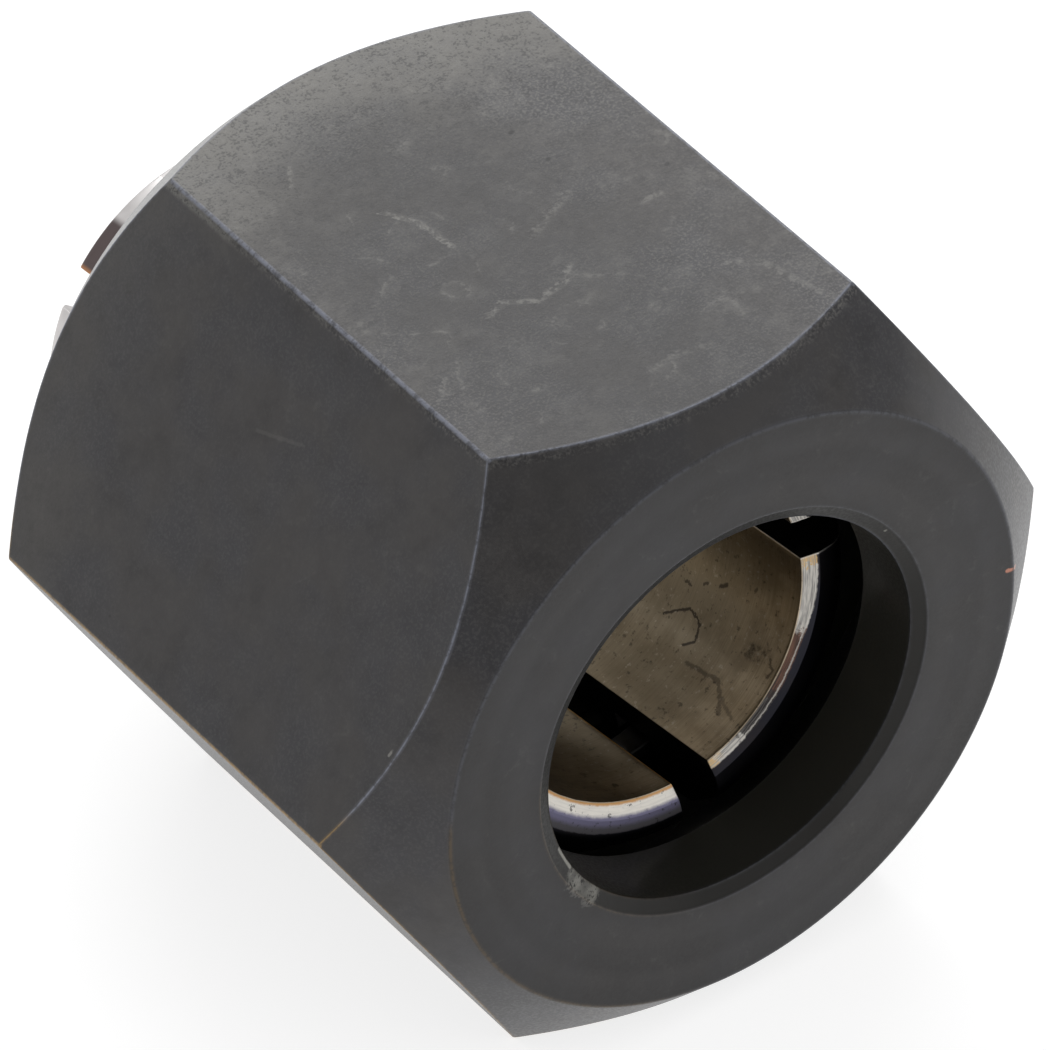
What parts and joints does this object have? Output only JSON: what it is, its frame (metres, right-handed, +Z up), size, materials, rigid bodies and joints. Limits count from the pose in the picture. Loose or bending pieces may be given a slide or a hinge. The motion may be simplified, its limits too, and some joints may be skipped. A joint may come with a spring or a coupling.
{
  "type": "router collet",
  "caption": "Hexagonal clamping nut with a slit steel collet held loosely inside it, for gripping the shank of a router cutter.",
  "frame": {"origin": "middle of the flat the nut lies on", "axes": "+Y along the nut's axis from its mouth to its threaded rear, where the collet's tail stands out; +Z up, out of the top flat; +X to the right for someone looking into the mouth"},
  "size_m": [0.0196, 0.0209, 0.017],
  "materials": {
    "black_oxide": "black oxide on turned and milled steel, matt, lightly scratched",
    "spring_steel": "plain tempered spring steel, satin",
    "ground_steel": "ground and lightly stained steel, bright at the front rim and in the bore"
  },
  "bodies": {
    "nut": {"collet_nut": "black_oxide"},
    "ring": {"retaining_ring": "spring_steel"},
    "collet": {"collet": "ground_steel"}
  },
  "joints": [
    {"name": "collet_rock", "type": "hinge", "parent": "nut", "child": "ring", "pos_m": [0, -0.00181, 0.0082], "axis": [1, 0, 0], "range_deg": [0, 15]},
    {"name": "collet_turn", "type": "hinge", "parent": "ring", "child": "collet", "pos_m": [0, -0.00181, 0.0082], "axis": [0, 0.9914, -0.1305], "continuous": true}
  ]
}
